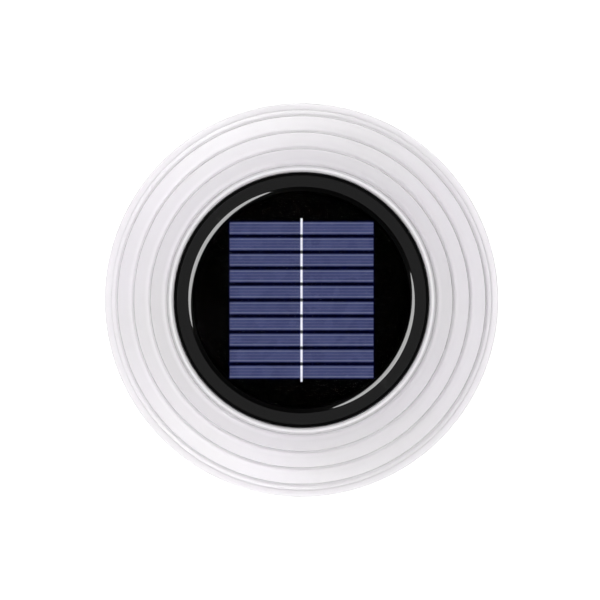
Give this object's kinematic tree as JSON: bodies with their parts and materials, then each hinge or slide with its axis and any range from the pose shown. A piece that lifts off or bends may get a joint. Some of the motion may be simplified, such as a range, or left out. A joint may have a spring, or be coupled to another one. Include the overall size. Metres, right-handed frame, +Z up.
{
  "type": "floating pool light",
  "caption": "Terraced round solar float light with a twist-off black solar cap, a base push button and a folding tether bail, for pools and ponds.",
  "frame": {"origin": "middle of the foot ring's bottom, on the axis of the float", "axes": "+Z up along the float's axis through the solar cap; +X along the solar strips; +Y towards the bow of the folded tether bail"},
  "size_m": [0.11, 0.11, 0.056],
  "materials": {
    "milky_shell": "milky translucent, satin moulded",
    "black_cap": "fine moulded texture",
    "black_bezel": "satin face with a polished inner bevel",
    "seal_rubber": "moulded rubber",
    "clear_window": "polished clear",
    "panel_laminate": "black solder mask with a navy field under the cells",
    "tinned_ribbon": "tinned copper",
    "silicon_cell": "blue grey silicon with fine printed fingers",
    "boot_silicone": "soft matt silicone",
    "inner_plastic": "moulded",
    "steel_screws": "zinc plated",
    "switch_housing": "moulded",
    "switch_stem": "moulded",
    "stainless_wire": "drawn stainless wire",
    "board_laminate": "white solder mask",
    "chip_resin": "moulded resin",
    "coil_ferrite": "sintered ferrite",
    "capacitor_can": "satin can",
    "connector_nylon": "moulded nylon",
    "holder_plastic": "moulded",
    "battery_sleeve": "shrunk plastic sleeve",
    "plated_spring_steel": "nickel plated",
    "frosted_dome": "frosted translucent",
    "red_insulation": "extruded insulation",
    "black_insulation": "extruded insulation",
    "led_package": "white package with phosphor"
  },
  "bodies": {
    "float": {"upper_shell": "milky_shell", "lower_shell": "milky_shell", "button_boot": "boot_silicone", "boot_retainer": "inner_plastic", "retainer_screws": "steel_screws", "power_switch": "switch_housing", "circuit_board": "board_laminate", "board_screws": "steel_screws", "controller_chip": "chip_resin", "boost_coil": "coil_ferrite", "storage_capacitor": "capacitor_can", "lead_header": "connector_nylon", "lead_plug": "connector_nylon", "battery_holder": "holder_plastic", "battery_cell": "battery_sleeve", "battery_contact": "plated_spring_steel", "battery_spring": "plated_spring_steel", "diffuser_dome": "frosted_dome", "solar_lead_red": "red_insulation", "solar_lead_black": "black_insulation", "lamp_led_1": "led_package", "lamp_led_2": "led_package", "lamp_led_3": "led_package", "lamp_led_4": "led_package", "lamp_led_5": "led_package", "lamp_led_6": "led_package"},
    "seal_carrier": {"cap_seal": "seal_rubber"},
    "solar_cap": {"cap_body": "black_cap", "cap_bezel": "black_bezel", "solar_window": "clear_window", "window_gasket": "seal_rubber", "panel_board": "panel_laminate", "solar_cell_01": "silicon_cell", "solar_cell_02": "silicon_cell", "solar_cell_03": "silicon_cell", "solar_cell_04": "silicon_cell", "solar_cell_05": "silicon_cell", "solar_cell_06": "silicon_cell", "solar_cell_07": "silicon_cell", "solar_cell_08": "silicon_cell", "solar_cell_09": "silicon_cell", "solar_cell_10": "silicon_cell", "cell_ribbons": "tinned_ribbon", "lead_grommet": "seal_rubber"},
    "power_button": {"button_key": "inner_plastic", "switch_plunger": "switch_stem"},
    "bail": {"tether_bail": "stainless_wire"}
  },
  "joints": [
    {"name": "cap_lift", "type": "slide", "parent": "float", "child": "seal_carrier", "axis": [0, 0, 1], "range_m": [0, 0.0015]},
    {"name": "cap_turn", "type": "hinge", "parent": "seal_carrier", "child": "solar_cap", "pos_m": [0, 0, 0.0515], "axis": [0, 0, 1], "range_deg": [0, 45]},
    {"name": "button_press", "type": "slide", "parent": "float", "child": "power_button", "axis": [0, 0, 1], "range_m": [0, 0.0012], "stiffness_N_per_m": 1200, "springref_m": -0.0005, "deforming": ["button_boot"]},
    {"name": "bail_swing", "type": "hinge", "parent": "float", "child": "bail", "pos_m": [0, 0, 0.0022], "axis": [-1, 0, 0], "range_deg": [0, 180]}
  ],
  "couplings": [
    {"joint": "cap_lift", "follows": "cap_turn", "m_per_rad": 0.0019099}
  ]
}
